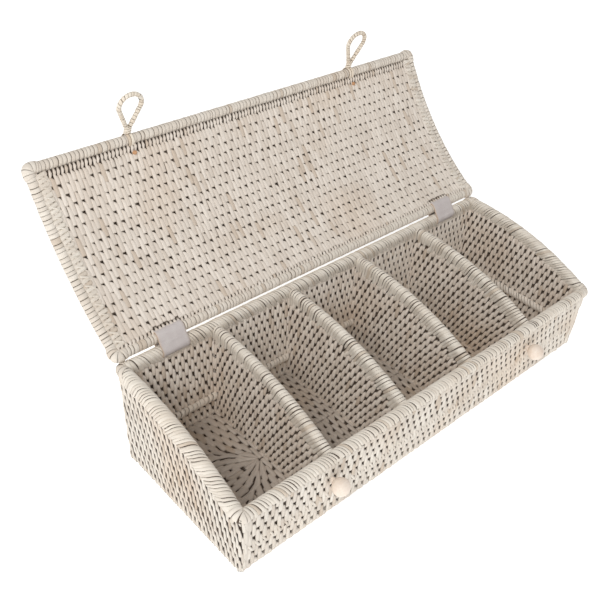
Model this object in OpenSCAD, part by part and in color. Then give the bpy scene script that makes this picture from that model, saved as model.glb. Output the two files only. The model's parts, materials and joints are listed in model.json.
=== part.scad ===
// Woven rattan tea bag box: five open compartments under an arched lid.
// The lid hangs on two leather straps and is shown open, leaning back.
// Origin: middle of the underside. X runs along the length, the low front faces -Y.

/* [Box] */
// Outer length over the rim rods
length = 380; // [300:1:460]
// Outer depth over the rim rods
depth = 136; // [115:1:165]
// Height of the back edge
back_height = 89; // [78:0.5:110]
// Height of the front edge
front_height = 60; // [55:0.5:70]
// Rise of the arched ends above a straight line from back to front
arch_rise = 8.5; // [5:0.5:13]
// How much each side leans in from the rim down to the base
taper = 2.5; // [0:0.5:5]
// Diameter of the wrapped rod round the rim
rim_d = 7.6; // [6.6:0.1:9]
// How much the wrapping of a rim corner adds round its rods
corner_wrap = 0.5; // [0.3:0.1:0.7]
// Diameter of the thicker rod round the waist
waist_d = 6.6; // [5:0.2:7.4]
// Height of the waist rod's centre
waist_height = 21; // [16:0.5:24]
// Diameter of the upright rod in each corner
post_d = 6; // [5:0.2:7]

/* [Weave] */
// Diameter of the core rods in walls, dividers and lid
core_d = 4; // [3.4:0.1:5]
// Distance from one core rod to the next, less than their diameter
row_pitch = 3.7; // [3:0.05:4.4]
// Thickness of the floor under its ribs
floor_thick = 2.6; // [2:0.1:4]
// Diameter of the ribs that ring the floor
floor_rib_d = 3.6; // [3:0.1:4.4]
// Distance from one floor ring to the next
floor_ring_pitch = 7.4; // [6:0.1:10]
// Diameter of the rod round the base
base_rod_d = 5.6; // [4.6:0.1:6.6]

/* [Dividers] */
// How much longer the two end compartments are than the others
end_room = 3.7; // [0:0.1:8]
// Diameter of the rod along the top of a divider
divider_rim_d = 6.8; // [5.6:0.1:8]
// How far the dividers' top rod lies below the box rim
divider_drop = 2; // [1:0.5:6]

/* [Knobs] */
// Distance from the end of the box to each knob
knob_inset = 80; // [56:1:100]
// Diameter of the wooden ball
knob_d = 13; // [10:0.2:13.4]
// Height of the ball's centre
knob_height = 36; // [33:0.5:39]
// How far the middle of the ball stands outside a fastened loop
knob_seat = 4.4; // [4:0.1:5.5]
// Diameter of the peg that holds the ball
knob_peg_d = 4; // [3:0.1:5]

/* [Lid] */
// How far each end of the lid reaches past the box
lid_overhang = 0.5; // [0:0.1:3]
// Gap between the lid's rim rods and the box's when it is shut
lid_gap = 2; // [1.8:0.1:3]
// Lean of the open lid above level, measured from hinge to front edge
lid_open_angle = 47; // [35:1:75]
// Direction from the box's back rod to the lid's back rod, above level
strap_open_angle = 56; // [40:1:70]

/* [Straps] */
// Distance from the end of the box to the middle of each strap
strap_inset = 45; // [30:1:54]
// Width of the leather
strap_width = 22.5; // [16:0.5:28]
// Thickness of the leather
strap_thick = 1.6; // [1:0.1:2.2]
// Play between a rim rod and the leather or cane that turns on it
rod_play = 0.1; // [0.05:0.01:0.1]
// Clear space round a strap where it goes through the weave
slot_play = 0.4; // [0.3:0.1:1]

/* [Loops] */
// Thickness of the wrapped cane of a loop
loop_d = 3.4; // [2.6:0.1:4]
// Width of the opening that slips over a knob
loop_opening = 14.6; // [14:0.1:18]
// How much lower than a knob the middle of the opening hangs when fastened
loop_slack = 1; // [0.4:0.1:1.6]
// Length of the slim end of the opening, from its middle to the knot
loop_taper_length = 21; // [19:0.5:21.5]
// Clear space between a fastened loop and the box's front rim rod
loop_play = 0.8; // [0.8:0.1:1.2]
// Direction of a loop above level in the pose shown
loop_open_angle = 107; // [95:1:125]
// How much the wrapped knot adds round the two legs of a loop
knot_wrap = 0.5; // [0.2:0.1:0.5]
// Width of the flat cane ring that holds a loop on the lid's front rod
loop_ring_width = 5; // [4:0.2:8]
// Thickness of that ring, less than the lid's gap
loop_ring_thick = 1.5; // [1:0.1:1.6]
// Diameter of the cane end that shows inside the lid
loop_end_d = 3; // [2:0.1:3.4]

/* [Hidden] */
$fn = 48;
eps = 0.02;                    // touching rods keep this hair of space
rim_r = rim_d / 2;
core_r = core_d / 2;
waist_r = waist_d / 2;
post_r = post_d / 2;
base_r = base_rod_d / 2;
div_r = divider_rim_d / 2;
knob_r = knob_d / 2;
loop_r = loop_d / 2;

// middle of the walls at the rim
half_x = length / 2 - rim_r;
half_y = depth / 2 - rim_r;
back_z = back_height - rim_r;
front_z = front_height - rim_r;

compartments = 5;
divider_pitch = 2 * (half_x - end_room) / compartments;
knob_offset = length / 2 - knob_inset;
strap_offset = length / 2 - strap_inset;

// lean of the walls: how far in they are at a height
function lean(z, top) = taper * (1 - z / top);
function front_y(z) = -half_y + lean(z, front_height);
function back_y(z) = half_y - lean(z, back_height);
function end_x(z) = half_x - lean(z, back_height);

// arch over the ends, in the plane across the box
chord = norm([2 * half_y, back_z - front_z]);
slope = atan2(back_z - front_z, 2 * half_y);
arch_r = (chord * chord / 4 + arch_rise * arch_rise) / (2 * arch_rise);
half_arc = asin(chord / 2 / arch_r);
arch_y = (arch_r - arch_rise) * sin(slope);
arch_z = (back_z + front_z) / 2 - (arch_r - arch_rise) * cos(slope);
arc_back = atan2(back_z - arch_z, half_y - arch_y);
arc_front = atan2(front_z - arch_z, -half_y - arch_y);

// lid: the same arch, one strap length further out
rod_step = rim_d + lid_gap;
lid_r = arch_r + rod_step;
lid_chord = 2 * lid_r * sin(half_arc);
lid_half_x = half_x + lid_overhang;
hinge_y = half_y + rod_step * cos(strap_open_angle);
hinge_z = back_z + rod_step * sin(strap_open_angle);
edge_y = hinge_y + lid_chord * cos(lid_open_angle);
edge_z = hinge_z + lid_chord * sin(lid_open_angle);
panel_first = rim_r + core_r + eps;          // first core rod, from a rim rod
lid_arc = 2 * half_arc * PI / 180 * lid_r;   // length of the lid along its curve
lid_rows = floor((lid_arc - 2 * panel_first) / row_pitch);
lid_row_step = (lid_arc - 2 * panel_first) / lid_rows;

strap_in = rim_r + rod_play;
strap_out = strap_in + strap_thick;
slot_r = strap_out + slot_play;
slot_half = strap_width / 2 + slot_play;

// loops, which hang straight down from the shut lid when fastened
shut_edge_y = -half_y + rod_step * cos(arc_front);
shut_edge_z = front_z + rod_step * sin(arc_front);
loop_hang_y = -half_y - rim_r - loop_play - loop_r;
loop_plane = shut_edge_y - loop_hang_y;      // how far a loop lies off the rod's middle
loop_reach = shut_edge_z - knob_height + loop_slack;
loop_bend = loop_opening / 2 + loop_r;       // radius of the round end
ring_in = rim_r + rod_play;
ring_out = ring_in + loop_ring_thick;
loop_knot = loop_reach - loop_taper_length;
loop_half_angle = asin(loop_bend / (loop_taper_length + loop_r));

cane = [0.87, 0.83, 0.76];
wrap = [0.93, 0.90, 0.84];
leather = [0.74, 0.70, 0.71];
wood = [0.86, 0.76, 0.66];

// ---- rods ----
module rod_x(x0, x1, y, z, r) {
    translate([x0, y, z]) rotate([0, 90, 0]) cylinder(h = x1 - x0, r = r);
}
module rod_y(x, y0, y1, z, r) {
    translate([x, y0, z]) rotate([-90, 0, 0]) cylinder(h = y1 - y0, r = r);
}
// rod between two points
module rod_to(p, q, r) {
    v = q - p;
    translate(p) rotate([0, acos(v[2] / norm(v)), atan2(v[1], v[0])])
        cylinder(h = norm(v), r = r);
}
// straight rod with round ends, which a corner's wrapping makes thicker
module round_rod_x(half, y, z, r, more = 0) {
    rod_x(-half, half, y, z, r);
    for (s = [-1, 1]) translate([s * half, y, z]) sphere(r + more);
}
// bent rod in the plane across the box, angles from +Y towards +Z
module arc_rod(x, cy, cz, radius, from, to, r) {
    translate([x, cy, cz]) rotate([90, 0, 90]) rotate([0, 0, from])
        rotate_extrude(angle = to - from, $fn = 96) translate([radius, 0]) circle(r, $fn = 32);
}
// everything below the arch, at a distance inside its centre line
module under_arch(x0, x1, inset) {
    translate([x0, arch_y, arch_z]) rotate([0, 90, 0])
        cylinder(h = x1 - x0, r = arch_r - inset, $fn = 96);
}

// ---- base ----
base_in_x = end_x(0) - base_r;
base_in_y = half_y - taper - base_r;

module base_frame() color(wrap) {
    z = base_r;
    fx = end_x(0);
    fy = half_y - taper;
    for (s = [-1, 1]) {
        rod_x(-fx, fx, s * fy, z, base_r);
        rod_y(s * fx, -fy, fy, z, base_r);
        for (t = [-1, 1]) translate([s * fx, t * fy, z]) sphere(base_r);
    }
}

module base_panel() color(cane) {
    hx = base_in_x - eps;
    hy = base_in_y - eps;
    rib_r = floor_rib_d / 2;
    rings = floor((hy - rib_r) / floor_ring_pitch);
    difference() {
        union() {
            translate([-hx, -hy, 0]) cube([2 * hx, 2 * hy, floor_thick]);
            // ribs along the length, mitred against those across it
            for (s = [-1, 1]) intersection() {
                for (i = [0 : rings])
                    rod_x(-hx, hx, s * (hy - rib_r - i * floor_ring_pitch), floor_thick, rib_r);
                linear_extrude(floor_thick + floor_rib_d)
                    polygon([[-hx, s * hy], [hx, s * hy], [hx - hy, 0], [hy - hx, 0]]);
            }
            for (s = [-1, 1]) intersection() {
                for (i = [0 : rings])
                    rod_y(s * (hx - rib_r - i * floor_ring_pitch), -hy, hy, floor_thick, rib_r);
                linear_extrude(floor_thick + floor_rib_d)
                    polygon([[s * hx, -hy], [s * hx, hy], [s * (hx - hy), 0]]);
            }
        }
        base_rods(eps);
    }
}

// ---- corner posts and walls ----
function post_x(z) = end_x(z) - post_r + core_r;
module post(sx, back, r) {
    z0 = base_r;
    z1 = back ? back_z : front_z;
    y0 = back ? back_y(z0) - post_r + core_r : front_y(z0) + post_r - core_r;
    y1 = back ? back_y(z1) - post_r + core_r : front_y(z1) + post_r - core_r;
    rod_to([sx * post_x(z0), y0, z0], [sx * post_x(z1), y1, z1], r);
}
module corner_post(sx, back) color(wrap) difference() {
    post(sx, back, post_r);
    // seats for the rods above and below
    rim_rods(eps);
    base_rods(eps);
}
module base_rods(grow) for (s = [-1, 1]) {
    rod_x(-length, length, s * (half_y - taper), base_r, base_r + grow);
    rod_y(s * end_x(0), -depth, depth, base_r, base_r + grow);
}
module waist_rods(grow) {
    rod_x(-length, length, front_y(waist_height), waist_height, waist_r + grow);
    rod_x(-length, length, back_y(waist_height), waist_height, waist_r + grow);
    for (s = [-1, 1])
        rod_y(s * end_x(waist_height), -depth, depth, waist_height, waist_r + grow);
}
module rim_rods(grow) {
    round_rod_x(half_x, -half_y, front_z, rim_r + grow, corner_wrap);
    round_rod_x(half_x, half_y, back_z, rim_r + grow, corner_wrap);
    for (s = [-1, 1])
        arc_rod(s * half_x, arch_y, arch_z, arch_r, arc_back - 2, arc_front + 2, rim_r + grow);
}

// the weave above the waist rod, or the foot band below it
module band_of(upper) intersection() {
    children();
    translate([0, 0, waist_height + (upper ? 1 : -1) * 2 * back_height])
        cube([3 * length, 3 * depth, 4 * back_height], center = true);
}

// one long wall: core rods stacked from the base rod to the rim, cut by the waist rod
module long_wall(back) {
    top = back ? back_z : front_z;
    z0 = base_rod_d + core_r;
    z1 = top - rim_r - core_r - eps;
    rows = ceil((z1 - z0) / row_pitch);
    step = (z1 - z0) / rows;
    reach = end_x(base_r);
    difference() {
        for (i = [0 : rows]) {
            z = z0 + i * step;
            y = back ? back_y(z) : front_y(z);
            rod_x(-reach, reach, y, z, core_r);
        }
        waist_rods(eps);
        base_rods(eps);
        for (s = [-1, 1]) post(s, back, post_r + eps);
        // trim what would stand past the corner posts
        for (s = [-1, 1]) translate([s * (post_x(0) + length / 2), 0, 0])
            cube([length, 3 * depth, 3 * back_height], center = true);
    }
}
module front_wall() color(cane) difference() {
    band_of(true) long_wall(false);
    for (s = [-1, 1]) translate([s * knob_offset, -half_y, knob_height])
        rotate([90, 0, 0]) cylinder(h = 6 * core_r, r = knob_peg_d / 2 + eps, center = true);
}
module back_wall() color(cane) difference() {
    band_of(true) long_wall(true);
    // slots that the straps go through
    for (s = [-1, 1])
        rod_x(s * strap_offset - slot_half, s * strap_offset + slot_half, half_y, back_z, slot_r);
}

// one end wall: core rods from front to back, cut by the arch
module end_wall(s) {
    z0 = base_rod_d + core_r;
    z1 = arch_z + arch_r - rim_r - core_r;
    rows = ceil((z1 - z0) / row_pitch);
    step = (z1 - z0) / rows;
    difference() {
        intersection() {
            for (i = [0 : rows]) {
                z = z0 + i * step;
                rod_y(s * end_x(z), -half_y, half_y, z, core_r);
            }
            under_arch(-length, length, rim_r + eps);
            translate([0, 0, depth])
                cube([2 * length, 2 * (half_y - post_r + core_r), 2 * depth], center = true);
        }
        rod_x(-length, length, -half_y, front_z, rim_r + eps);
        rod_x(-length, length, half_y, back_z, rim_r + eps);
        waist_rods(eps);
        base_rods(eps);
        post(s, true, post_r + eps);
        post(s, false, post_r + eps);
        translate([0, -half_y - depth / 2 + lean_cut, 0])
            cube([3 * length, depth, 4 * depth], center = true);
        translate([0, half_y + depth / 2 - lean_cut, 0])
            cube([3 * length, depth, 4 * depth], center = true);
    }
}
lean_cut = taper + post_r;     // ends of the end walls stop at the corner posts

module waist_long(back) color(wrap) {
    y = back ? back_y(waist_height) : front_y(waist_height);
    difference() {
        round_rod_x(end_x(waist_height), y, waist_height, waist_r);
        for (s = [-1, 1]) post(s, back, post_r + eps);
    }
}
module waist_end(s) color(wrap) difference() {
    rod_y(s * end_x(waist_height), front_y(waist_height), back_y(waist_height),
        waist_height, waist_r);
    for (b = [false, true])
        round_rod_x(end_x(waist_height), b ? back_y(waist_height) : front_y(waist_height),
            waist_height, waist_r + eps);
    post(s, true, post_r + eps);
    post(s, false, post_r + eps);
}
module rim_long(back) color(wrap)
    round_rod_x(half_x, back ? half_y : -half_y, back ? back_z : front_z, rim_r, corner_wrap);
module rim_end(s) color(wrap) difference() {
    arc_rod(s * half_x, arch_y, arch_z, arch_r, arc_back, arc_front, rim_r);
    round_rod_x(half_x, half_y, back_z, rim_r + eps, corner_wrap);
    round_rod_x(half_x, -half_y, front_z, rim_r + eps, corner_wrap);
}

// ---- dividers ----
function divider_x(i) = (i - compartments / 2) * divider_pitch;
module divider(i) color(cane) {
    x = divider_x(i);
    z0 = floor_thick + floor_rib_d / 2 + core_r + eps;
    z1 = arch_z + arch_r - divider_drop - div_r - core_r;
    rows = ceil((z1 - z0) / row_pitch);
    step = (z1 - z0) / rows;
    difference() {
        intersection() {
            for (k = [0 : rows]) {
                z = z0 + k * step;
                rod_y(x, front_y(z) + core_r + 4 * eps, back_y(z) - core_r - 4 * eps, z, core_r);
            }
            under_arch(x - core_d, x + core_d, divider_drop + div_r + eps);
        }
        for (s = [-1, 1]) rod_x(-length, length, s * half_y, s < 0 ? front_z : back_z, rim_r + eps);
        waist_rods(eps);
        base_rods(eps);
    }
}
module divider_rim(i) color(wrap) difference() {
    arc_rod(divider_x(i), arch_y, arch_z, arch_r - divider_drop,
        arc_back, arc_front, div_r);
    rod_x(-length, length, -half_y, front_z, rim_r + eps);
    rod_x(-length, length, half_y, back_z, rim_r + eps);
    // ends stop at the long walls' inner faces
    for (y = [front_y(front_z - rim_r) + core_r - depth / 2,
            back_y(back_z - rim_r) - core_r + depth / 2])
        translate([0, y - sign(y) * eps, 0]) cube([2 * length, depth, 4 * depth], center = true);
}

// ---- knobs ----
module knob(s) color(wood) {
    y = loop_hang_y - knob_seat;
    translate([s * knob_offset, y, knob_height]) rotate([-90, 0, 0]) {
        sphere(knob_r);
        // peg, right through the woven wall
        cylinder(h = front_y(knob_height) + core_r - 5 * eps - y, r = knob_peg_d / 2);
    }
}

// ---- straps ----
module strap(s) color(leather)
    translate([s * strap_offset, half_y, back_z]) rotate([strap_open_angle, 0, 0])
        translate([-strap_width / 2, 0, 0]) difference() {
            band(strap_out, strap_width, 0);
            band(strap_in, strap_width, 1);
        }
module band(r, w, past) translate([-past, 0, 0]) {
    for (y = [0, rod_step]) rod_x(0, w + 2 * past, y, 0, r);
    translate([0, 0, -r]) cube([w + 2 * past, rod_step, 2 * r]);
}

// ---- lid, drawn level with its back rod on the origin, then stood open ----
module lid_place() translate([0, hinge_y, hinge_z]) rotate([lid_open_angle, 0, 0]) children();
function lid_at(d) = let (a = -half_arc + d / lid_r * 180 / PI)
    [lid_chord / 2 + lid_r * sin(a), lid_r * (cos(half_arc) - cos(a))];

module lid_panel() color(cane) lid_place() {
    reach = lid_half_x - rim_r - eps;
    difference() {
        for (i = [0 : lid_rows]) {
            p = lid_at(panel_first + i * lid_row_step);
            rod_x(-reach, reach, p[0], p[1], core_r);
        }
        for (s = [-1, 1]) {
            rod_x(s * strap_offset - slot_half, s * strap_offset + slot_half, 0, 0, slot_r);
            rod_x(s * knob_offset - loop_ring_width / 2 - slot_play,
                s * knob_offset + loop_ring_width / 2 + slot_play,
                lid_chord, 0, ring_out + slot_play);
            loop_hole(s, eps);
        }
    }
}
module lid_rim(front) color(wrap) lid_place()
    round_rod_x(lid_half_x, front ? lid_chord : 0, 0, rim_r, corner_wrap);
module lid_rim_end(s) color(wrap) lid_place() difference() {
    arc_rod(s * lid_half_x, lid_chord / 2, lid_r * cos(half_arc), lid_r,
        270 - half_arc, 270 + half_arc, rim_r);
    round_rod_x(lid_half_x, 0, 0, rim_r + eps, corner_wrap);
    round_rod_x(lid_half_x, lid_chord, 0, rim_r + eps, corner_wrap);
}

// ---- loops ----
// cane end that comes out on the inside of the lid below its front rod
module loop_hole(s, grow) {
    p = lid_at(lid_arc - panel_first - core_d);
    translate([s * knob_offset, p[0], p[1]]) rotate([half_arc, 0, 0])
        cylinder(h = core_d + 2.4, r = loop_end_d / 2 + grow, center = true);
}
module loop_end(s) color(wood) lid_place() loop_hole(s, 0);

// centre line of the opening: round end, then both legs into the knot
function loop_line(n) = let (a = 90 + loop_half_angle)
    [for (k = [0 : n]) let (t = -a + 2 * a * k / n)
        [loop_bend * sin(t), loop_reach + loop_bend * cos(t)]];
module loop_strand() {
    n = 20;
    sides = 10;
    mid = loop_line(n);
    tip = loop_r * 0.5;
    pts = concat([[-tip, loop_knot]], mid, [[tip, loop_knot]]);
    m = len(pts);
    function dir(k) = let (a = pts[max(k - 1, 0)], b = pts[min(k + 1, m - 1)], v = b - a) v / norm(v);
    ring = [for (k = [0 : m - 1]) let (d = dir(k), c = pts[k]) for (j = [0 : sides - 1])
        let (w = 360 * j / sides, u = loop_r * cos(w), v = loop_r * sin(w))
            [c[0] + u * d[1], c[1] - u * d[0], v]];
    side = [for (k = [0 : m - 2]) for (j = [0 : sides - 1])
        let (a = k * sides + j, b = k * sides + (j + 1) % sides) each
            [[a, b, a + sides], [b, b + sides, a + sides]]];
    ends = [for (j = [1 : sides - 2]) each
        [[0, j + 1, j], [(m - 1) * sides, (m - 1) * sides + j, (m - 1) * sides + j + 1]]];
    polyhedron(points = ring, faces = concat(side, ends), convexity = 4);
}
module loop(s) color(wrap)
    translate([s * knob_offset, edge_y, edge_z]) rotate([loop_open_angle, 0, 0])
        difference() {
            union() {
                translate([0, 0, -loop_plane]) {
                    loop_strand();
                    // wrapped knot, and the stem below it
                    for (x = [-0.5, 0.5]) translate([x * loop_r, loop_knot - loop_d, 0])
                        rotate([-90, 0, 0]) cylinder(h = 1.8 * loop_d, r = loop_r + knot_wrap);
                    rotate([-90, 0, 0]) cylinder(h = loop_knot, r = loop_r);
                }
                rod_x(-loop_ring_width / 2, loop_ring_width / 2, 0, 0, ring_out);
            }
            rod_x(-length, length, 0, 0, ring_in);
        }

base_panel();
base_frame();
front_wall();
back_wall();
color(cane) band_of(true) end_wall(-1);  // left_end_wall
color(cane) band_of(true) end_wall(1);  // right_end_wall
color(cane) band_of(false) long_wall(false);  // foot_band_front
color(cane) band_of(false) long_wall(true);  // foot_band_back
color(cane) band_of(false) end_wall(-1);  // foot_band_left
color(cane) band_of(false) end_wall(1);  // foot_band_right
corner_post(-1, false);  // corner_post_front_left
corner_post(1, false);  // corner_post_front_right
corner_post(-1, true);  // corner_post_back_left
corner_post(1, true);  // corner_post_back_right
waist_long(false);  // waist_rod_front
waist_long(true);  // waist_rod_back
waist_end(-1);  // waist_rod_left
waist_end(1);  // waist_rod_right
rim_long(false);  // rim_rod_front
rim_long(true);  // rim_rod_back
rim_end(-1);  // rim_rod_left
rim_end(1);  // rim_rod_right
divider(1);  // divider_1
divider(2);  // divider_2
divider(3);  // divider_3
divider(4);  // divider_4
divider_rim(1);  // divider_rim_1
divider_rim(2);  // divider_rim_2
divider_rim(3);  // divider_rim_3
divider_rim(4);  // divider_rim_4
knob(-1);  // knob_left
knob(1);  // knob_right
strap(-1);  // strap_left
strap(1);  // strap_right
lid_panel();
lid_rim(true);  // lid_rim_front
lid_rim(false);  // lid_rim_back
lid_rim_end(-1);  // lid_rim_left
lid_rim_end(1);  // lid_rim_right
loop(-1);  // loop_left
loop(1);  // loop_right
loop_end(-1);  // loop_end_left
loop_end(1);  // loop_end_right
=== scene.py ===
"""Looks of the woven tea bag box: cane weave, wrapped rods, leather straps, cane loops and knobs.

All lengths are in millimetres until a mesh is made, in the CAD model's frame.
"""
import json
import math

import bpy
import numpy as np
from mathutils import Matrix, Vector


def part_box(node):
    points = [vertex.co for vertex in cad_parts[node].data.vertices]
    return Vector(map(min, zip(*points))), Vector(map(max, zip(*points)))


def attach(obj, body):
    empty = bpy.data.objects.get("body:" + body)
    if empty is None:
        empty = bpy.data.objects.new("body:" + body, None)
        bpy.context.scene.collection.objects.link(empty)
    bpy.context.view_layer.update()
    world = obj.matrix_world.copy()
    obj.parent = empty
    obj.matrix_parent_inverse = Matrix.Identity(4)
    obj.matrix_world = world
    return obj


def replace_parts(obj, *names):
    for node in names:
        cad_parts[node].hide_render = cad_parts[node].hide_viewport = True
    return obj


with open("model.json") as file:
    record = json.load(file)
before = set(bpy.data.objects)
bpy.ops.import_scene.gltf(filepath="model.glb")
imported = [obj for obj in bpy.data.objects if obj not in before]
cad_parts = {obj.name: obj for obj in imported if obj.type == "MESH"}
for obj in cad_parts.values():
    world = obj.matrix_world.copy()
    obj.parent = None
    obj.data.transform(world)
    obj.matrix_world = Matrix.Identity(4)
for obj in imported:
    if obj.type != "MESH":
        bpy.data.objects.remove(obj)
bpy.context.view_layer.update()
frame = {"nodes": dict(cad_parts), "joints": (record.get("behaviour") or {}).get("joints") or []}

MM = 0.001
rng = np.random.default_rng(7)


# ---------------------------------------------------------------- sizes from the frame
def span(node):
    """Lowest and highest corner of a CAD node, in mm."""
    lo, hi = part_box(node)
    return np.array(lo) / MM, np.array(hi) / MM


def vertices(node):
    """The points of a CAD node, in mm."""
    mesh = frame["nodes"][node].data
    co = np.zeros(3 * len(mesh.vertices), np.float32)
    mesh.vertices.foreach_get("co", co)
    return co.reshape(-1, 3).astype(float) / MM


def arc_centre(node):
    """(y, z, radius) of a bent rod's centre line, from the points at its side."""
    co = vertices(node)
    side = co[co[:, 0] > co[:, 0].max() - 0.05][:, 1:]
    a = np.c_[2 * side, np.ones(len(side))]
    cy, cz, k = np.linalg.lstsq(a, (side ** 2).sum(1), rcond=None)[0]
    return cy, cz, math.sqrt(k + cy * cy + cz * cz)


def middle_and_half(node):
    """Middle of a CAD node's box and half its size."""
    lo, hi = span(node)
    return (lo + hi) / 2, (hi - lo) / 2


# centre lines and radii of the box's rods
RIM_X = middle_and_half("rim_rod_right")[0][0]
RIM_R = middle_and_half("rim_rod_right")[1][0]
BALL_R = span("rim_rod_front")[1][0] - RIM_X      # the round ends of the long rims
HALF_Y = span("rim_rod_back")[1][1] - BALL_R
FRONT_Z = span("rim_rod_front")[1][2] - BALL_R
BACK_Z = span("rim_rod_back")[1][2] - BALL_R
ARCH_Y, ARCH_Z, ARCH_R = arc_centre("rim_rod_right")
BASE_R = span("base_frame")[1][2] / 2
BASE_X = span("base_frame")[1][0] - BASE_R
BASE_Y = span("base_frame")[1][1] - BASE_R
TAPER = HALF_Y - BASE_Y            # the walls lean outwards
WAIST_Z = middle_and_half("waist_rod_front")[0][2]
DIV_X = [middle_and_half(f"divider_{i}")[0][0] for i in range(1, 5)]
DIV_RIM_R = middle_and_half("divider_rim_1")[1][0]
DIV_Y, DIV_Z, DIV_R = arc_centre("divider_rim_1")

# the lid: its arc runs from the hinge rod to the rod at its free edge
LID_X = middle_and_half("lid_rim_right")[0][0]
LID_Y, LID_Z, LID_R = arc_centre("lid_rim_right")
joints = {j["name"]: j for j in frame["joints"]}
HINGE = np.array(joints["lid_turn"]["pos_m"])[1:] / MM
EDGE = np.array(joints["loop_left_swing"]["pos_m"])[1:] / MM
KNOB_X = -joints["loop_left_swing"]["pos_m"][0] / MM
LID_FROM = math.atan2(HINGE[1] - LID_Z, HINGE[0] - LID_Y)
LID_TO = math.atan2(EDGE[1] - LID_Z, EDGE[0] - LID_Y)
if LID_TO < LID_FROM:
    LID_TO += 2 * math.pi
LID_ARC = (LID_TO - LID_FROM) * LID_R

ROW = 7.35                         # one row of the weave
COLUMN = 3.05                      # one column of the weave, a strand wide
END_COLUMN = 2.6                   # the end walls are woven a little closer
INNER_COLUMN = 2.7                 # so are the inner sides and the dividers
CREST = 3.25                       # how far a strand stands off the middle of a wall
DIVE = 1.3                         # where its ends go in between the rods


# ---------------------------------------------------------------- meshes
def object_from(name, xyz, faces, body, material, attributes=()):
    """A mesh object from points in mm, with float attributes on its points.

    faces is an array of quads, or a list where faces differ in their number of corners."""
    mesh = bpy.data.meshes.new(name)
    mesh.from_pydata([], [], [])
    xyz = np.asarray(xyz, np.float32) * MM
    if isinstance(faces, list):
        flat = np.concatenate([np.asarray(face, np.int32) for face in faces])
        totals = np.array([len(face) for face in faces])
    else:
        flat = faces.ravel()
        totals = np.full(len(faces), faces.shape[1])
    starts = np.cumsum(totals) - totals
    mesh.vertices.add(len(xyz))
    mesh.vertices.foreach_set("co", xyz.ravel())
    mesh.loops.add(len(flat))
    mesh.loops.foreach_set("vertex_index", flat.astype(np.int32))
    mesh.polygons.add(len(totals))
    mesh.polygons.foreach_set("loop_start", starts.astype(np.int32))
    mesh.polygons.foreach_set("loop_total", totals.astype(np.int32))
    mesh.update(calc_edges=True)
    mesh.validate()
    mesh.polygons.foreach_set("use_smooth", np.ones(len(mesh.polygons), bool))
    for key, values in dict(attributes).items():
        values = np.asarray(values, np.float32)
        kind = "FLOAT" if values.ndim == 1 else "FLOAT_VECTOR"
        layer = mesh.attributes.new(key, kind, "POINT")
        layer.data.foreach_set("value" if values.ndim == 1 else "vector", values.ravel())
    obj = bpy.data.objects.new(name, mesh)
    bpy.context.scene.collection.objects.link(obj)
    mesh.materials.append(material)
    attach(obj, body)
    return obj


# a strand's section, across and up, and its stations along
SECTION = np.array([[-0.5, 0.15], [-0.33, 0.8], [0.0, 1.0], [0.33, 0.8], [0.5, 0.15], [0.0, -0.7]])
STATIONS = np.array([0.0, 0.05, 0.12, 0.4, 0.7, 0.8, 0.88, 0.95, 1.0])
ROUND = np.linspace(0, 1, 19)      # stations of a strand that bends over a rim
GRAIN = 400                        # each strand takes its grain from another place


def smooth(x):
    """0 to 1 with level ends."""
    x = np.clip(x, 0, 1)
    return x * x * (3 - 2 * x)


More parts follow.
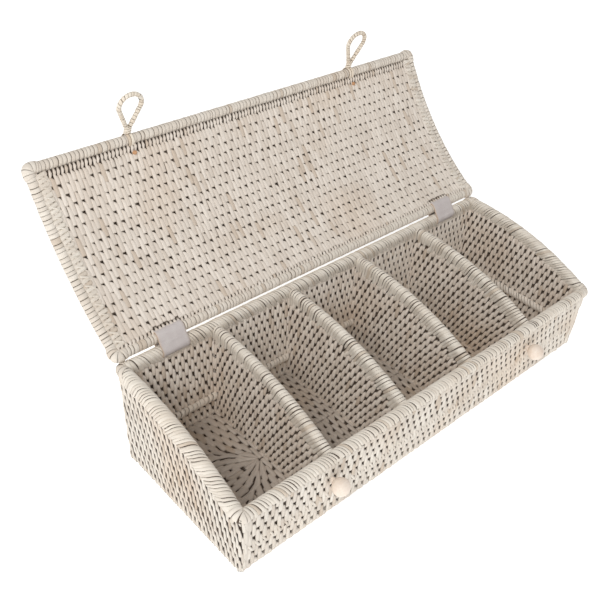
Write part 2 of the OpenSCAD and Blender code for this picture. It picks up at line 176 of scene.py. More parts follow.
class Strands:
    """Collects strands laid on surfaces and turns them into one mesh."""

    def __init__(self):
        self.xyz, self.faces, self.rise, self.tone, self.fibre = [], [], [], [], []
        self.count = 0

    def lay(self, surface, a, b0, b1, width=COLUMN * 1.28, slant=-1.8, crest=CREST, dive=DIVE,
            thick=1.0, wedge=0.85, lean=-1.0, enter=1.6, start=0.2, leave=4.6, drop=None, jitter=1.0,
            stations=STATIONS):
        """Strands from (a, b0) to (a + slant, b1) on surface(a, b, h), each a closed tube.

        A strand comes up within enter, where it is narrower by start, and over its last stretch,
        leave, it narrows to one side by wedge and dives; that leaves the dark gaps of the weave.
        drop is the length over which it dives, where that is shorter than leave. crest is the
        height of its top and dive that of its ends."""
        lines = [np.atleast_1d(np.asarray(v, float)) for v in (a, b0, b1)]
        a, b0, b1 = np.broadcast_arrays(*lines)
        n, k, m = len(a), len(stations), len(SECTION)
        if n == 0:
            return

        def column(values):
            return np.broadcast_to(np.asarray(values, float), (n,))[:, None, None]

        def each(size):
            return column(rng.normal(0, size, n) * jitter)
        t = stations[None, :, None]
        s = SECTION[None, None, :, 0]
        q = SECTION[None, None, :, 1]
        length = column(b1 - b0)
        go = smooth((t * length - length + leave) / leave)
        sink = smooth(1.3 * go - 0.3) if drop is None else smooth(1 - (1 - t) * length / drop)
        lift = smooth(t * length / min(enter, 2.0) + 0.12) * (1 - sink)
        w = column(width) * (1 + each(0.06))
        narrow = 1 - start * (1 - smooth(t * length / enter)) - wedge * go
        side = column(a) + each(0.12) + (column(slant) + each(0.3)) * (t - 0.5)
        side = side + lean * 0.5 * wedge * go * w
        A = side + s * w * narrow
        B = column(b0) + each(0.3) + length * t + 0 * A
        height = crest + column(rng.normal(0, 0.08, n)) - thick
        H = dive + (height - dive) * lift + q * thick * (0.5 + 0.5 * lift)
        A, B, H = np.broadcast_arrays(A, B, H)
        self.xyz.append(surface(A, B, H).reshape(-1, 3))
        i = self.count + np.arange(n)[:, None, None] * (k * m)
        r = np.arange(k - 1)[None, :, None] * m
        j = np.arange(m)[None, None, :]
        j2 = (j + 1) % m
        around = [i + r + j, i + r + j2, i + r + m + j2, i + r + m + j]
        self.faces.append(np.stack(around, -1).reshape(-1, 4))
        for first in (0, (k - 1) * m):
            ids = (i[:, 0, 0] + first)[:, None] + np.arange(m)[None, :]
            ids = ids[:, ::-1] if first == 0 else ids
            self.faces += [ids[:, [0, 1, 2, 3]], ids[:, [3, 4, 5, 0]]]
        # rise is low where a strand dives and along its sides: the cane material paints shade there
        self.rise.append(np.broadcast_to(lift * (0.5 + 0.5 * smooth(q / 0.75)), A.shape).ravel())
        self.tone.append(np.broadcast_to(column(rng.random(n)), A.shape).ravel())
        across = s * w + column(rng.random(n) * GRAIN) + 0 * A
        fibre = np.stack([across, length * t + 0 * A, 0 * A + column(rng.random(n) * GRAIN)], -1)
        self.fibre.append(fibre.reshape(-1, 3))
        self.count += n * k * m

    def piece(self, name, body, slot, material):
        object_from(name, np.concatenate(self.xyz), np.concatenate(self.faces), body, material, {
            "rise": np.concatenate(self.rise), "tone": np.concatenate(self.tone),
            "fibre": np.concatenate(self.fibre)})


# ---------------------------------------------------------------- materials
def node_material(name):
    mat = bpy.data.materials.new(name)
    mat.use_nodes = True
    tree = mat.node_tree
    tree.nodes.clear()
    out = tree.nodes.new("ShaderNodeOutputMaterial")
    bsdf = tree.nodes.new("ShaderNodeBsdfPrincipled")
    tree.links.new(bsdf.outputs[0], out.inputs[0])
    return mat, tree, bsdf


class Nodes:
    """Short names for the few shader nodes that the materials use."""

    def __init__(self, tree):
        self.tree = tree

    def new(self, kind, **values):
        node = self.tree.nodes.new(kind)
        for key, value in values.items():
            setattr(node, key, value)
        return node

    def put(self, socket, value):
        if isinstance(value, bpy.types.NodeSocket):
            self.tree.links.new(value, socket)
        elif value is not None:
            socket.default_value = value

    def attribute(self, name, output="Fac"):
        return self.new("ShaderNodeAttribute", attribute_name=name).outputs[output]

    def noise(self, vector, scale, detail=3.0, rough=0.55):
        node = self.new("ShaderNodeTexNoise")
        self.put(node.inputs["Vector"], vector)
        node.inputs["Scale"].default_value = scale
        node.inputs["Detail"].default_value = detail
        node.inputs["Roughness"].default_value = rough
        return node.outputs["Fac"]

    def scaled(self, vector, by):
        node = self.new("ShaderNodeVectorMath", operation="MULTIPLY")
        self.put(node.inputs[0], vector)
        node.inputs[1].default_value = by
        return node.outputs[0]

    def ramp(self, value, stops):
        """stops is [(place, number or colour), ...]."""
        node = self.new("ShaderNodeValToRGB")
        self.put(node.inputs[0], value)
        elements = node.color_ramp.elements
        while len(elements) < len(stops):
            elements.new(0.5)
        for element, (place, colour) in zip(elements, stops):
            element.position = place
            element.color = (*colour, 1) if hasattr(colour, "__len__") else (colour,) * 3 + (1,)
        return node.outputs["Color"]

    def mix(self, factor, a, b, mode="MIX"):
        node = self.new("ShaderNodeMix", data_type="RGBA", blend_type=mode)
        self.put(node.inputs[0], factor)
        for socket, value in ((node.inputs[6], a), (node.inputs[7], b)):
            self.put(socket, (*value, 1) if isinstance(value, tuple) and len(value) == 3 else value)
        return node.outputs[2]

    def math(self, operation, a, b=None):
        node = self.new("ShaderNodeMath", operation=operation)
        self.put(node.inputs[0], a)
        self.put(node.inputs[1], b)
        return node.outputs[0]

    def bump(self, height, strength, distance):
        node = self.new("ShaderNodeBump")
        node.inputs["Strength"].default_value = strength
        node.inputs["Distance"].default_value = distance
        self.put(node.inputs["Height"], height)
        return node.outputs[0]

    def place(self):
        return self.new("ShaderNodeTexCoord").outputs["Object"]


def cane_material(name, light, mid, dive_brown_and_shade, stain=0.4, rough=0.62):
    """Whitewashed cane: pale paint on the crests, bare brown cane darkened by painted shade where it
    dives, fine fibres along.
    """
    mat, tree, bsdf = node_material(name)
    n = Nodes(tree)
    fibre = n.attribute("fibre", "Vector")
    streak = n.noise(n.scaled(fibre, (1.2, 0.09, 1.0)), 1.0, 3.0, 0.65)
    blotch = n.noise(n.place(), 28.0, 3.0)
    patch = n.noise(n.place(), 14.0, 2.0)
    tone = n.attribute("tone")
    # paint, strand by strand and over larger patches
    wear = n.math("ADD", n.math("MULTIPLY", tone, 0.55), n.math("MULTIPLY", blotch, 0.55))
    colour = n.mix(n.ramp(wear, [(0.30, 0.0), (0.95, 1.0)]), light, mid)
    colour = n.mix(n.ramp(streak, [(0.40, 0.0), (0.72, 0.65)]), colour, mid)
    stained = n.ramp(patch, [(0.52, 0.0), (0.74, stain)])
    colour = n.mix(stained, colour, (0.66, 0.50, 0.36))
    odd_strand = n.ramp(tone, [(0.93, 0.0), (0.97, 0.4)])
    colour = n.mix(odd_strand, colour, (0.50, 0.38, 0.27))
    # the lower a point lies in the weave, the darker: bare brown cane and painted shade
    rise = n.math("ADD", n.attribute("rise"), n.math("MULTIPLY", streak, 0.12))
    depth = n.ramp(rise, [(0.20, 1.0), (0.50, 0.55), (0.84, 0.0)])
    colour = n.mix(depth, colour, dive_brown_and_shade)
    n.put(bsdf.inputs["Base Color"], colour)
    bsdf.inputs["Roughness"].default_value = rough
    bsdf.inputs["Specular IOR Level"].default_value = 0.35
    n.put(bsdf.inputs["Normal"], n.bump(n.math("ADD", streak, blotch), 0.35, 0.0005))
    return mat


def core_material(name, dark, light):
    """Bare rods under the weave, near black: painted shade."""
    mat, tree, bsdf = node_material(name)
    n = Nodes(tree)
    grain = n.noise(n.scaled(n.place(), (60.0, 900.0, 900.0)), 1.0, 3.0)
    n.put(bsdf.inputs["Base Color"], n.mix(n.ramp(grain, [(0.3, 0.0), (0.75, 1.0)]), dark, light))
    bsdf.inputs["Roughness"].default_value = 0.8
    n.put(bsdf.inputs["Normal"], n.bump(grain, 0.4, 0.0004))
    return mat


# paint on the crests, paint worn thin, and between the strands the brown of bare cane with painted
# shade
WALL = cane_material("wall_cane", (0.80, 0.75, 0.675), (0.61, 0.545, 0.475), (0.075, 0.052, 0.038))
LID = cane_material("lid_cane", (0.80, 0.73, 0.655), (0.64, 0.565, 0.49), (0.15, 0.115, 0.085), 0.28)
# the inner sides are the same cane made lighter, as painted light; the back wall's inside lighter still
INNER = cane_material("inner_cane", (0.89, 0.81, 0.725), (0.70, 0.61, 0.525), (0.10, 0.072, 0.053))
BACK_INNER_LIT = cane_material("inner_back_cane_painted_light", (0.94, 0.87, 0.79), (0.80, 0.71, 0.62),
                           (0.19, 0.145, 0.11))
# the floor is the same cane made darker, as painted shade
FLOOR = cane_material("floor_cane", (0.59, 0.52, 0.455), (0.47, 0.405, 0.345), (0.13, 0.097, 0.073))
WRAP = cane_material("wrap_cane", (0.79, 0.73, 0.65), (0.67, 0.60, 0.52), (0.34, 0.275, 0.215), 0.2)
RIM_CANE = cane_material("rim_cane", (0.80, 0.745, 0.665), (0.66, 0.595, 0.515),
                         (0.13, 0.095, 0.07), 0.2)
INNER_WRAP = cane_material("inner_wrap_cane", (0.82, 0.75, 0.67), (0.66, 0.59, 0.51),
                           (0.20, 0.15, 0.115), 0.2)
LOOP = cane_material("loop_cane", (0.86, 0.80, 0.70), (0.74, 0.64, 0.52), (0.36, 0.27, 0.20), 0.3, 0.5)


def leather_material():
    """Grey suede-like leather with a browner cut edge."""
    mat, tree, bsdf = node_material("strap_leather")
    n = Nodes(tree)
    fibre = n.attribute("fibre", "Vector")
    pores = n.noise(fibre, 2.6, 4.0, 0.7)
    cloud = n.noise(fibre, 0.14, 3.0)
    colour = n.mix(n.ramp(cloud, [(0.35, 0.0), (0.7, 1.0)]), (0.585, 0.535, 0.525), (0.66, 0.615, 0.60))
    colour = n.mix(n.ramp(pores, [(0.42, 0.35), (0.6, 0.0)]), colour, (0.42, 0.37, 0.365))
    colour = n.mix(n.attribute("edge"), colour, (0.56, 0.43, 0.33))
    n.put(bsdf.inputs["Base Color"], colour)
    bsdf.inputs["Roughness"].default_value = 0.72
    bsdf.inputs["Specular IOR Level"].default_value = 0.3
    n.put(bsdf.inputs["Normal"], n.bump(pores, 0.5, 0.0003))
    return mat


def wood_material(name, light, dark, pore):
    """Turned wood: fine lines along X, soft clouds and a few pores."""
    mat, tree, bsdf = node_material(name)
    n = Nodes(tree)
    grain = n.noise(n.scaled(n.place(), (120.0, 900.0, 900.0)), 1.0, 4.0, 0.6)
    cloud = n.noise(n.place(), 90.0, 2.0)
    colour = n.mix(n.ramp(grain, [(0.35, 0.0), (0.7, 1.0)]), light, dark)
    colour = n.mix(n.ramp(cloud, [(0.52, 0.0), (0.72, 0.45)]), colour, pore)
    n.put(bsdf.inputs["Base Color"], colour)
    bsdf.inputs["Roughness"].default_value = 0.5
    n.put(bsdf.inputs["Normal"], n.bump(grain, 0.2, 0.0003))
    return mat


LEATHER = leather_material()
KNOB = wood_material("knob_wood", (0.86, 0.755, 0.66), (0.80, 0.68, 0.575), (0.70, 0.55, 0.44))
RAW = wood_material("raw_cane", (0.60, 0.33, 0.17), (0.42, 0.21, 0.10), (0.22, 0.10, 0.05))
CORE_SHADE = core_material("core_rods_painted_shade", (0.055, 0.038, 0.028), (0.12, 0.085, 0.06))


# ---------------------------------------------------------------- surfaces
def lean(z, top):
    """How far a wall stands in at height z."""
    return TAPER * (1 - z / top)


def front_face(a, b, h):
    """The front wall's inside: a runs along X, b up and h into the box."""
    return np.stack([a, -HALF_Y + lean(b, FRONT_Z + RIM_R) + h, b], -1)


def back_face(a, b, h):
    """The back wall's inside, likewise."""
    return np.stack([a, HALF_Y - lean(b, BACK_Z + RIM_R) - h, b], -1)


def end_face(side):
    """An end wall's inside, side -1 left or 1 right: a runs along Y."""
    def surface(a, b, h):
        return np.stack([side * (RIM_X - lean(b, BACK_Z + RIM_R) - h), a, b], -1)
    return surface


DIVIDER_MID = 45.0                 # height at which a divider's columns are laid out
INNER_X = RIM_X - 2.0              # how far the inner weaves reach
INNER_Y = HALF_Y - 2.0


def splay(a):
    """How much a divider's column at a leans: they stand square to the arch."""
    return 0.16 - 0.0024 * a


def divider_face(x, side):
    """A divider's side: a runs along Y."""
    def surface(a, b, h):
        y = a - splay(a) * (b - DIVIDER_MID)
        return np.stack([x + side * h, np.clip(y, -INNER_Y - 1, INNER_Y + 1), b], -1)
    return surface


def lid_face(inside):
    """The lid: a along X, b along the arc from the back rod. inside is 1 on the hollow side."""
    def surface(a, b, h):
        angle = LID_FROM + b / LID_R
        r = LID_R - inside * h
        return np.stack([a, LID_Y + r * np.cos(angle), LID_Z + r * np.sin(angle)], -1)
    return surface


def arch_top(y, centre=(ARCH_Y, ARCH_Z, ARCH_R), drop=0.0):
    """Height at y of the curve drop below a bent rim's centre line."""
    cy, cz, r = centre
    return cz + np.sqrt((r - drop) ** 2 - (y - cy) ** 2)


def brick(a_from, a_to, low, high, row=ROW, column=COLUMN):
    """Places, starts and ends of a brick weave: strands two rows long, shifted from column to
    column. low and high are numbers or functions of a."""
    count = int(round((a_to - a_from) / column))
    a = a_from + (np.arange(count) + 0.5) * (a_to - a_from) / count
    lo = low(a) if callable(low) else np.full(count, low)
    hi = high(a) if callable(high) else np.full(count, high)
    A, B0, B1 = [], [], []
    for i in range(-1, int(np.ceil((hi - lo).max() / (2 * row))) + 2):
        start = lo.min() + row * (2 * i + np.arange(count) % 2)
        b0 = np.maximum(start, lo - 0.6)
        b1 = np.minimum(start + 2 * row + 0.4, hi + 0.6)
        keep = b1 - b0 > 3.4
        A.append(a[keep])
        B0.append(b0[keep])
        B1.append(b1[keep])
    return map(np.concatenate, (A, B0, B1))


def stitches(strands, surface, a_from, a_to, low, high, pitch, **look):
    """A row of strands from low to high."""
    count = int(round((a_to - a_from) / pitch))
    a = a_from + (np.arange(count) + 0.5) * (a_to - a_from) / count
    strands.lay(surface, a, low, high, **look)


# ---------------------------------------------------------------- wraps round rods
def wraps(name, body, slot, material, centre, length, radius, pitch=3.1, tilt=0.9, bulge=0.32,
          around=14, nodes=(), oval=1.0):
    """Cane wound round a rod. centre(t) gives (point, side, up) arrays for t in mm."""
    count = max(int(length / pitch), 2)
    edges = np.cumsum(rng.uniform(0.7, 1.3, count))
    edges = np.concatenate([[0], edges]) / edges[-1] * length
    # some grooves between two turns are deep, with painted shade in them, the others shallow
    groove = np.where(rng.random(count + 1) < 0.4, rng.uniform(-0.6, -0.1, count + 1),
                      rng.uniform(0.2, 0.8, count + 1))
    lo, hi = edges[:-1] + 0.04, edges[1:] - 0.04
    across = np.array([0.0, 0.14, 0.5, 0.86, 1.0])
    m, k = len(across), around
    first, last = groove[:-1, None, None], groove[1:, None, None]
    top = np.ones_like(first)
    lift = np.concatenate([first, 0.75 + 0.2 * first, top, 0.75 + 0.2 * last, last], -1)
    phi = np.arange(k) / k * 2 * math.pi
    t = lo[:, None, None] + (hi - lo)[:, None, None] * across[None, None, :]
    t = t + tilt * np.sin(phi + 0.6)[None, :, None]
    r = radius - bulge + bulge * lift + rng.normal(0, 0.05, count)[:, None, None] + 0 * t
    point, side, up = centre(np.clip(t, 0, length))
    p = phi[None, :, None, None]
    xyz = point + r[..., None] * (oval * np.cos(p) * side + np.sin(p) * up)
    i = np.arange(count)[:, None, None] * (k * m)
    j = np.arange(k)[None, :, None] * m
    j2 = (np.arange(k) + 1)[None, :, None] % k * m
    s = np.arange(m - 1)[None, None, :]
    quads = np.stack([i + j + s, i + j + s + 1, i + j2 + s + 1, i + j2 + s], -1).reshape(-1, 4)
    under = np.stack([i + j + m - 1, i + j, i + j2, i + j2 + m - 1], -1).reshape(-1, 4)
    # rise, low in the grooves, makes the cane material paint shade there
    rise = np.clip(0.42 + 0.58 * lift, 0, 1) + 0 * t
    tone = np.broadcast_to(rng.random(count)[:, None, None], t.shape)
    fibre = np.stack([t - edges[:-1, None, None] + rng.random(count)[:, None, None] * GRAIN,
                      radius * phi[None, :, None] + 0 * t, 0 * t], -1)
    obj = object_from(name, xyz.reshape(-1, 3), np.concatenate([quads, under]), body, material,
                      {"rise": rise.ravel(), "tone": tone.ravel(), "fibre": fibre.reshape(-1, 3)})
    if nodes:
        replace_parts(obj, *nodes)


def straight(p, q):
    """centre function and length of a straight rod from p to q."""
    p, q = np.array(p, float), np.array(q, float)
    d = (q - p) / np.linalg.norm(q - p)
    side = np.cross(d, [0, 0, 1.0]) if abs(d[2]) < 0.9 else np.cross(d, [0, 1.0, 0])
    side /= np.linalg.norm(side)
    up = np.cross(side, d)

    def centre(t):
        return p + t[..., None] * d, side, up
    return centre, float(np.linalg.norm(q - p))


def bent(x, cy, cz, r, start, end):
    """centre function of a rod bent about (cy, cz) in the plane at x, angles in radians."""
    sign = 1 if end > start else -1

    def centre(t):
        a = start + sign * t / r
        radial = np.stack([0 * a, np.cos(a), np.sin(a)], -1)
        point = np.stack([x + 0 * a, cy + r * np.cos(a), cz + r * np.sin(a)], -1)
        return point, np.array([1.0, 0, 0]), radial
    return centre, abs(end - start) * r


def along(points, normal):
    """centre function and length of a smooth line of points in the plane across normal."""
    points, normal = np.array(points, float), np.array(normal, float)
    at = np.concatenate([[0], np.cumsum(np.linalg.norm(np.diff(points, axis=0), axis=1))])

    def place(t):
        return np.stack([np.interp(t, at, points[:, i]) for i in range(3)], -1)

    def centre(t):
        ahead = place(np.clip(t + 0.5, 0, at[-1])) - place(np.clip(t - 0.5, 0, at[-1]))
        side = np.cross(ahead, normal)
        return place(t), side / np.linalg.norm(side, axis=-1, keepdims=True), normal
    return centre, float(at[-1])


# ================================================================ the box
# ---- the outer weave runs round the box
CORNER = 3.2                       # bend of the walls' middle at a corner
TURN = (CORNER + CREST) * math.pi / 2
SIDES = [2 * (RIM_X - CORNER), 2 * (HALF_Y - CORNER)] * 2
RING = sum(SIDES) + 4 * TURN
BASE_SWELL, WAIST_SWELL, POST_SWELL = 0.4, 0.45, 2.2


def ring_frame(a):
    """Place and outward direction on the box's outline: front, right, back, then left."""
    a = np.mod(a, RING)
    place = np.zeros(a.shape + (2,))
    out = np.zeros(a.shape + (2,))
    hx, hy = RIM_X - CORNER, HALF_Y - CORNER
    corners = [(hx, -hy), (hx, hy), (-hx, hy), (-hx, -hy)]
    begins = [(-hx, -hy), (hx, -hy), (hx, hy), (-hx, hy)]
    ways = [(1, 0), (0, 1), (-1, 0), (0, -1)]
    start = 0.0
    for k in range(4):
        normal = np.array([ways[k][1], -ways[k][0]], float)
        on = (a >= start) & (a < start + SIDES[k])
        d = (a - start)[..., None]
        side_place = np.array(begins[k]) + d * np.array(ways[k]) + CORNER * normal
        place = np.where(on[..., None], side_place, place)
        out = np.where(on[..., None], normal, out)
        start += SIDES[k]
        on = (a >= start) & (a < start + TURN)
        angle = math.atan2(normal[1], normal[0]) + (a - start) / TURN * math.pi / 2
        way = np.stack([np.cos(angle), np.sin(angle)], -1)
        place = np.where(on[..., None], np.array(corners[k]) + CORNER * way, place)
        out = np.where(on[..., None], way, out)
        start += TURN
    return place, out


def ring_face(a, b, h):
    """The outside of the box: a runs round it and b up."""
    place, out = ring_frame(a)
    # it swells a little over the base frame and the waist rods, and round the corner posts
    h = h + BASE_SWELL * np.clip(1 - b / 9, 0, 1) + WAIST_SWELL * np.exp(-((b - WAIST_Z) / 5) ** 2)
    h = h + POST_SWELL * np.abs(out[..., 0] * out[..., 1])
    x = place[..., 0] + out[..., 0] * (h - lean(b, BACK_Z + RIM_R))
    front = out[..., 1] < 0
    y = place[..., 1] + out[..., 1] * (h - lean(b, np.where(front, FRONT_Z, BACK_Z) + RIM_R))
    return np.stack([x, y, np.maximum(b, 0.05)], -1)     # cut level with the table


def ring_top(a):
    """Where the outer weave ends, just above the underside of the rims."""
    y = np.clip(ring_frame(a)[0][..., 1], -HALF_Y, HALF_Y)
    top = arch_top(y, drop=RIM_R - UNDER_RIM)
    top = np.where(y > HALF_Y - 4, BACK_Z - RIM_R + UNDER_RIM, top)
    return np.where(y < 4 - HALF_Y, FRONT_Z - RIM_R + UNDER_RIM, top)


UNDER_RIM = 1.0
FOOT = 0.6                         # the outer weave starts just above the table
INNER_FOOT = 2.6                   # and the inner ones below the top of the floor
FULL = 1.3                         # width of a strand, in columns: its sides lie under the next
END_FULL = 1.26
# how the strands of each surface lie, as Strands.lay says
WALL_LOOK = dict(slant=0.0, leave=6.2, wedge=0.84, start=0.15, enter=1.2, dive=1.9, width=COLUMN * FULL)
END_LOOK = dict(slant=-0.9, leave=8.0, wedge=0.92, start=0.45, enter=2.8, dive=2.1, thick=0.9,
                width=END_COLUMN * END_FULL)
INNER_LOOK = dict(slant=-0.5, leave=6.2, wedge=0.85, start=0.4, enter=2.4, dive=1.9,
                  width=INNER_COLUMN * FULL)
LID_LOOK = dict(slant=0.5, leave=3.6, wedge=0.7, start=0.1, enter=1.1, drop=1.3, dive=1.7,
                width=COLUMN * FULL)
SEAM_LOOK = dict(slant=0.0, crest=3.15, wedge=0.2, leave=3.0, stations=ROUND)

# the four runs of the outline, each end wall with the corners at its sides
END_RUN = TURN + SIDES[1] + TURN
RUNS = ((0, SIDES[0], True), (SIDES[0], END_RUN, False),
        (SIDES[0] + END_RUN, SIDES[2], True), (SIDES[0] + END_RUN + SIDES[2], END_RUN, False))

RIM_PITCH = 2.5
RIM_CREST = 0.48                   # how far a strand stands off a rim's rod
TUCK = 0.6                         # how far its ends are drawn in against the wall
PRESS, PRESS_REACH = 0.25, 5       # how flat, and how far along, a loop presses them


def over_rim(name, centre, length, radius, left, right, slope=0.55, ragged=1.5, pressed=()):
    """Strands that come up one side of a wall, bend over its rim and go down the other side.

    left and right are how far they run down, below the rim, on either side of its rod, and
    ragged how much further some of them go. They are pressed flat where a loop comes down."""
    quarter = radius * math.pi / 2

    def dent(a):
        return sum(np.exp(-((a - p) / PRESS_REACH) ** 2) for p in pressed)

    def surface(a, b, h):
        ends = np.clip(np.minimum(a, length - a) / 12, 0, 1)
        point, side, up = centre(np.clip(a + slope * b * ends, 0, length))
        angle = (np.clip(b, -quarter, quarter) / radius)[..., None]
        down = np.clip(np.abs(b) - quarter, 0, None)
        depth = np.where(b > 0, right, left)
        out = (radius + h - TUCK * smooth(down / depth) - PRESS * dent(a))[..., None]
        return point + out * (np.sin(angle) * side + np.cos(angle) * up) - down[..., None] * up
    count = int(length / RIM_PITCH)
    a = (np.arange(count) + 0.5) / count * length
    low = -quarter - left - rng.uniform(0, ragged, count)
    high = quarter + right + rng.uniform(0, ragged, count)
    strands = Strands()
    strands.lay(surface, a, low, high, width=RIM_PITCH * (1.1 + 0.5 * dent(a)), slant=0.0,
                crest=RIM_CREST, dive=-1.2, thick=0.9, wedge=0.4, lean=0.0, leave=1.8, start=0.4,
                enter=1.8, jitter=1.5, stations=ROUND)
    strands.piece(name, "box", "wall_weave", RIM_CANE)


def outer_top(a):
    """The outer weave runs on a little under the strands of the rims."""
    return ring_top(a) + 2


outer = Strands()
for start, length, long_side in RUNS:
    stop = start + length
    row, column, look = (7.5, COLUMN, WALL_LOOK) if long_side else (8.0, END_COLUMN, END_LOOK)
    overlap = 0.4 * column
    outer.lay(ring_face, *brick(start - overlap, stop + overlap, FOOT, outer_top, row, column), **look)
    # an upright strand fills the seam between two sides
    outer.lay(ring_face, start, FOOT, ring_top(np.array(start)) + 1, width=column * 2.2, **SEAM_LOOK)
    if long_side:
        # below the waist a row of stitches crosses the weave
        stitches(outer, ring_face, start, stop, WAIST_Z - 4.0, WAIST_Z + 5.5, 2 * column, slant=-4.6,
                 crest=3.7, width=column * 0.75, wedge=0.5, lean=0.0, leave=2.6)
outer.piece("outer_weave", "box", "wall_weave", WALL)


# ---- the inner sides of the walls, with the waist as a wound rod
def end_top(y):
    """Where the weave inside an end wall stops."""
    return arch_top(y, drop=RIM_R - UNDER_RIM) + 2


FRONT_TOP, BACK_TOP = FRONT_Z - RIM_R + UNDER_RIM + 2, BACK_Z - RIM_R + UNDER_RIM + 2
BACK_LOOK = INNER_LOOK | dict(leave=5.2, start=0.3)
for name, face, half, top, look, cane in (
        ("front_wall", front_face, INNER_X, FRONT_TOP, INNER_LOOK, INNER),
        ("back_wall", back_face, INNER_X, BACK_TOP, BACK_LOOK, BACK_INNER_LIT),
        ("left_end", end_face(-1), INNER_Y, end_top, INNER_LOOK, INNER),
        ("right_end", end_face(1), INNER_Y, end_top, INNER_LOOK, INNER)):
    strands = Strands()
    strands.lay(face, *brick(-half, half, INNER_FOOT, top, column=INNER_COLUMN), **look)
    strands.piece(f"{name}_inner_weave", "box", "wall_weave", cane)
    ends = [face(np.array(a), np.array(WAIST_Z), np.array(2.4)) for a in (1 - half, half - 1)]
    wraps(f"{name}_inner_waist", "box", "wrapped_rod", INNER_WRAP, *straight(*ends), 3.6, pitch=3.2,
          tilt=2.0, bulge=0.5, around=12)


# ---- dividers, whose strands run on over the rounded top
def divider_top(a):
    """Where a divider's column at a stops, under its rounded top."""
    y = np.clip(a - splay(a) * 30, -INNER_Y, INNER_Y)
    return arch_top(y, (DIV_Y, DIV_Z, DIV_R), DIV_RIM_R - UNDER_RIM) - 2


for i, x in enumerate(DIV_X):
    weaves = Strands()
    for side in (-1, 1):
        A, B0, B1 = brick(-INNER_Y - 14, INNER_Y + 4, INNER_FOOT, divider_top, column=INNER_COLUMN)
        y = A - splay(A) * ((B0 + B1) / 2 - DIVIDER_MID)
        keep = np.abs(y) < INNER_Y
        weaves.lay(divider_face(x, side), A[keep], B0[keep], B1[keep], **INNER_LOOK)
    weaves.piece(f"divider_{i + 1}_weave", "box", "wall_weave", INNER)
    arc = bent(x, DIV_Y, DIV_Z, DIV_R, math.atan2(BACK_Z - DIV_Z, HALF_Y - 3 - DIV_Y),
               math.atan2(FRONT_Z - DIV_Z, -HALF_Y + 3 - DIV_Y))
    over_rim(f"divider_{i + 1}_top_weave", *arc, DIV_RIM_R, 7.0, 6.0, slope=0.2, ragged=7.0)

# ---- floor: rings round a middle line, mitred at the corners, where the strands fan out
FLOOR_X, FLOOR_Y = BASE_X - BASE_R + 0.5, BASE_Y - BASE_R + 0.5
FLOOR_Z = 2.3                      # middle of the floor
MID_X = FLOOR_X - FLOOR_Y - 5.0    # the middle line's ends
ROWS = 8
FLOOR_ROW = FLOOR_Y / ROWS
FAN = 9.0                          # how near a mitre the strands turn
FLOOR_UNDER = 3.4                  # how far the floor's last ring runs on under the walls
FLOOR_LOOK = dict(dive=0.2, thick=1.0, slant=0.0, leave=5.2, wedge=0.9, start=0.3, enter=1.4,
                  width=COLUMN * 1.3)
FAN_LOOK = FLOOR_LOOK | dict(width=COLUMN * 1.72, leave=4.8, wedge=0.88)


def floor_face(way, up):
    """way(a, b) gives x and y; up is 1 inside the box and -1 underneath."""
    def surface(a, b, h):
        x, y = way(a, b)
        return np.stack([x + 0 * h, y + 0 * h, FLOOR_Z + up * h], -1)
    return surface


def long_side_of(sy):
    def way(a, b):
        return a, sy * b
    return way


def fan(sx, sy, middle):
    """One corner: a runs along the ring at b = middle, from one side (a < 0) past the mitre (0)
    to the other, and b outwards."""
    wide = (FLOOR_X - MID_X) / FLOOR_Y

    def way(a, b):
        level = np.clip(middle - np.abs(a), 0, None)
        turn = np.clip(1 - (middle - level) / FAN, 0, 1) ** 1.3
        turn = np.maximum(turn, level / middle * np.clip(1.6 - middle / 20, 0, 1))
        across = level + (b - middle) * turn
        x, y = np.where(a < 0, b, across), np.where(a < 0, across, b)
        return sx * (MID_X + wide * x), sy * y
    return way


for label, up, crest, last in (("floor", 1, 2.35, FLOOR_Y + FLOOR_UNDER),
                               ("underside", -1, 2.0, FLOOR_Y)):
    strands = Strands()
    for s in (-1, 1):
        strands.lay(floor_face(long_side_of(s), up), *brick(-MID_X, MID_X, 0, last, FLOOR_ROW),
                    crest=crest, **FLOOR_LOOK)
        for sy in (-1, 1):
            for k in range(ROWS + 1):
                b0 = max(FLOOR_ROW * (k - 1), 0.8)
                b1 = min(FLOOR_ROW * (k + 1) + 0.4, last + 0.6)
                middle = (b0 + b1) / 2
                count = max(int(round(middle / COLUMN)), 2)
                a = (np.arange(count) + (0.25 if k % 2 else 0.75)) / count * 2 * middle - middle
                if b1 - b0 > 4:
                    strands.lay(floor_face(fan(s, sy, middle), up), a, b0, b1, crest=crest, **FAN_LOOK)
    strands.piece(f"{label}_weave", "box", "floor_weave", FLOOR)

# ---- rims: the strands run further down outside than inside, and furthest on the end walls
for place, y, z in (("front", -HALF_Y, FRONT_Z), ("back", HALF_Y, BACK_Z)):
    down = (6.5, 4.5) if place == "front" else (4.5, 6.5)
    under_loops = (RIM_X - KNOB_X, RIM_X + KNOB_X) if place == "front" else ()
    over_rim(f"rim_weave_{place}", *straight((-RIM_X, y, z), (RIM_X, y, z)), RIM_R, *down,
             pressed=under_loops)
ARC_FROM = math.atan2(BACK_Z - ARCH_Z, HALF_Y - ARCH_Y)
ARC_TO = math.atan2(FRONT_Z - ARCH_Z, -HALF_Y - ARCH_Y)
for s, side in ((-1, "left"), (1, "right")):
    down = (10.0, 7.0) if side == "left" else (7.0, 10.0)
    over_rim(f"rim_weave_{side}", *bent(s * RIM_X, ARCH_Y, ARCH_Z, ARCH_R, ARC_FROM, ARC_TO), RIM_R,
             *down)

